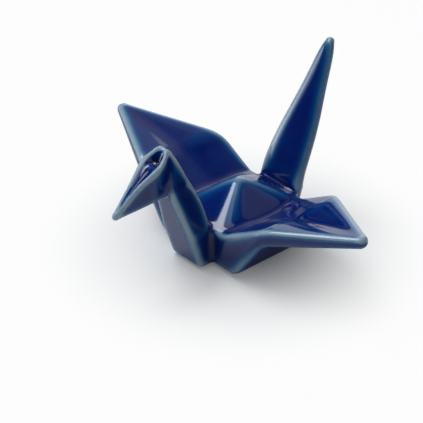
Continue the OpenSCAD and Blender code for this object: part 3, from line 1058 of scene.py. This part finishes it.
class CRANE_OT_wings(bpy.types.Operator):
    """Parts off and glazes the two wings"""
    bl_idname = "crane.wings"
    bl_label = "Glaze the wings"

    def execute(self, context):
        body = sizes(context)["crane_body"]
        for name, side in (("left_wing", 1), ("right_wing", -1)):
            glazed("glazed_" + name, name, [fold_plane(body, side, -1)])
        return {"FINISHED"}


class CRANE_OT_neck(bpy.types.Operator):
    """Parts off and glazes the neck"""
    bl_idname = "crane.neck"
    bl_label = "Glaze the neck"

    def execute(self, context):
        s = sizes(context)
        body, clay = s["crane_body"], s["crane_clay"]
        glazed("glazed_neck", "neck", [
            root_plane(body, clay, 1, -1),
            throat_plane(s["crane_neck"], body, s["crane_foot"], clay)])
        return {"FINISHED"}


class CRANE_OT_head(bpy.types.Operator):
    """Parts off and glazes the folded head"""
    bl_idname = "crane.head"
    bl_label = "Glaze the head"

    def execute(self, context):
        s = sizes(context)
        body, clay = s["crane_body"], s["crane_clay"]
        glazed("glazed_head", "head", [
            root_plane(body, clay, 1, -1),
            throat_plane(s["crane_neck"], body, s["crane_foot"], clay, -1)])
        return {"FINISHED"}


class CRANE_OT_tail(bpy.types.Operator):
    """Parts off and glazes the tail"""
    bl_idname = "crane.tail"
    bl_label = "Glaze the tail"

    def execute(self, context):
        s = sizes(context)
        glazed("glazed_tail", "tail", [root_plane(s["crane_body"], s["crane_clay"], -1, -1)])
        return {"FINISHED"}


class CRANE_OT_foot(bpy.types.Operator):
    """Makes the bare clay foot, with rounded corners and a rubbed lower edge"""
    bl_idname = "crane.foot"
    bl_label = "Make the foot"

    def execute(self, context):
        size = context.scene.crane_foot
        x, y = size.half_length, size.half_width
        corners = [Vector(c) for c in ((x, -y), (x, y), (-x, y), (-x, -y))]
        outline = []
        for k, corner in enumerate(corners):
            outline += rounded_corner(corners[k - 1], corner, corners[(k + 1) % 4],
                                      size.corner, steps=12)
        worn = 0.3  # how high up its bevel the foot's edge is rounded over
        levels = [(0, 1), (size.bevel * worn, worn), (size.bevel, 0), (size.thickness, 0)]
        bm = bmesh.new()
        lofted(bm, [[(p.x * (1 - size.bevel * inset / x), p.y * (1 - size.bevel * inset / y), z)
                     for p in outline] for z, inset in levels])
        bmesh.ops.recalc_face_normals(bm, faces=bm.faces)
        piece = finished("clay_foot", bm, "foot")
        piece.data.materials.append(bare_clay())
        return {"FINISHED"}


# Stage

FLOOR_RADIUS = 3.0
FLOOR_SIDES = 96
LAMP_TINT = (0.93, 0.97, 1.0)
FILM_WIDTH = 36  # millimetres
NEAREST_SEEN = 0.01

# Each lamp's name, its direction round Z from +X and above the floor in degrees, its
# distance and size in metres, its brightness straight ahead, and the angle in degrees
# from there at which its light has faded
LAMPS = [("window left", -142, 16, 0.50, (0.26, 0.26), 1.8, 33),
         ("window left middle", -146, 42, 0.50, (0.34, 0.24), 0.22, 45),
         ("window left above", -146, 44, 0.50, (0.44, 0.36), 0.18, 45),
         ("window left glow", -146, 46, 0.50, (0.54, 0.48), 0.14, 45),
         ("window top", -76, 64, 0.50, (0.34, 0.16), 9.5, 45),
         ("pane", -64, 36, 0.50, (0.11, 0.12), 3.4, 45),
         ("skylight", 12, 68, 0.50, (0.26, 0.16), 2.2, 45),
         ("window right", -61, 6, 0.50, (0.36, 0.18), 5.5, 20),
         ("backlight", 148, 42, 0.60, (0.26, 0.24), 0.45, 50),
         ("overhead", -90, 84, 0.60, (0.40, 0.22), 1.5, 60),
         ("fill", 84, 36, 0.70, (0.50, 0.56), 0.55, 60)]


def pointed(location, target):
    """Rotation that points an object's -Z from one place to another."""
    return (target - location).to_track_quat("-Z", "Y").to_euler()


def soft_lamp(name, turn, rise, distance, size, level, fade, target):
    """A rectangular lamp whose light fades to its sides, unseen by the camera."""
    lamp = bpy.data.lights.new(name, "AREA")
    lamp.shape = "RECTANGLE"
    lamp.size, lamp.size_y = size
    lamp.spread = 2 * fade
    # A lamp of narrow spread is the brighter straight ahead, so its power comes down
    lamp.energy = level * pi * size[0] * size[1] * (1 - fade / tan(fade))
    lamp.color = LAMP_TINT
    piece = bpy.data.objects.new(name, lamp)
    way = Vector((cos(turn) * cos(rise), sin(turn) * cos(rise), sin(rise)))
    piece.location = target + way * distance
    piece.rotation_euler = pointed(piece.location, target)
    piece.visible_camera = False
    bpy.context.scene.collection.objects.link(piece)


def set_floor(look):
    """The floor, which lifts to white away from the rest but keeps its shadow."""
    bm = bmesh.new()
    bmesh.ops.create_circle(bm, cap_ends=True, segments=FLOOR_SIDES, radius=FLOOR_RADIUS)
    mesh = bpy.data.meshes.new("floor")
    bm.to_mesh(mesh)
    bm.free()
    floor = bpy.data.objects.new("floor", mesh)
    bpy.context.scene.collection.objects.link(floor)
    b = Bench("floor")
    cloth = b.node("ShaderNodeBsdfDiffuse", None, {"Color": (*look.floor, 1.0)})
    white = b.node("ShaderNodeEmission", None, {"Color": (1, 1, 1, 1), "Strength": 1.0})
    mirrored = b.ray("Is Glossy Ray") + b.ray("Is Transmission Ray")
    away = b.node("ShaderNodeVectorMath", {"operation": "LENGTH"}, {0: b.place()},
                  output="Value")
    lift = (b.ray("Is Camera Ray") * away.between(look.shade_from, look.shade_to)
            + mirrored * away.between(look.lift_from, look.lift_to))
    lit = b.node("ShaderNodeMixShader", None,
                 {0: lift.clamped() * look.whiteness, 1: cloth, 2: white})
    b.node("ShaderNodeOutputMaterial", None, {"Surface": lit})
    mesh.materials.append(b.material)


def set_room(look):
    """The faint light that comes from all round."""
    world = bpy.data.worlds.new("room")
    room = Bench("room", world)
    dim = room.node("ShaderNodeBackground", None,
                    {"Color": (*look.room, 1.0), "Strength": look.room_level})
    room.node("ShaderNodeOutputWorld", None, {"Surface": dim})
    bpy.context.scene.world = world


def set_camera(look, target):
    """The camera, on its bearing from the point that it looks at."""
    camera = bpy.data.objects.new("camera", bpy.data.cameras.new("camera"))
    camera.data.lens = look.lens
    camera.data.sensor_width = FILM_WIDTH
    camera.data.clip_start = NEAREST_SEEN
    turn, rise = look.azimuth, look.elevation
    back = Vector((sin(turn) * cos(rise), -cos(turn) * cos(rise), sin(rise)))
    camera.location = target + back * look.distance
    camera.rotation_euler = pointed(camera.location, target)
    bpy.context.scene.collection.objects.link(camera)
    bpy.context.scene.camera = camera


class CRANE_OT_stage(bpy.types.Operator):
    """Sets the floor, the lamps, the room's light and the camera"""
    bl_idname = "crane.stage"
    bl_label = "Set the stage"

    def execute(self, context):
        look = context.scene.crane_stage
        target = Vector(look.aim)
        set_floor(look)
        for name, turn, rise, distance, size, level, fade in LAMPS:
            soft_lamp(name, radians(turn), radians(rise), distance, size, level,
                      radians(fade), target)
        set_room(look)
        context.scene.view_settings.view_transform = "Standard"
        set_camera(look, target)
        return {"FINISHED"}


class CRANE_PT_panel(bpy.types.Panel):
    """The rest's sizes and finishes, and one button for each step"""
    bl_idname = "CRANE_PT_panel"
    bl_label = "Crane rest"
    bl_space_type = "VIEW_3D"
    bl_region_type = "UI"
    bl_category = "Crane rest"

    def draw(self, context):
        for name, group in GROUPS.items():
            box = self.layout.box()
            box.label(text=group.__doc__)
            for key in group.__annotations__:
                box.prop(getattr(context.scene, name), key)
        for operator in STEPS:
            self.layout.operator(operator.bl_idname)


STEPS = (CRANE_OT_form, CRANE_OT_body, CRANE_OT_wings, CRANE_OT_neck, CRANE_OT_head,
         CRANE_OT_tail, CRANE_OT_foot, CRANE_OT_stage)


def register():
    for group in GROUPS.values():
        bpy.utils.register_class(group)
    for name, group in GROUPS.items():
        setattr(bpy.types.Scene, name, PointerProperty(type=group))
    for operator in STEPS:
        bpy.utils.register_class(operator)
    bpy.utils.register_class(CRANE_PT_panel)


def unregister():
    bpy.utils.unregister_class(CRANE_PT_panel)
    for operator in reversed(STEPS):
        bpy.utils.unregister_class(operator)
    for name in GROUPS:
        delattr(bpy.types.Scene, name)
    for group in reversed(list(GROUPS.values())):
        bpy.utils.unregister_class(group)


def main():
    register()
    bpy.ops.crane.form()
    bpy.ops.crane.body()
    bpy.ops.crane.wings()
    bpy.ops.crane.neck()
    bpy.ops.crane.head()
    bpy.ops.crane.tail()
    bpy.ops.crane.foot()
    bpy.data.meshes.remove(bpy.data.meshes[FORM])
    bpy.ops.crane.stage()


if __name__ == "__main__":
    main()
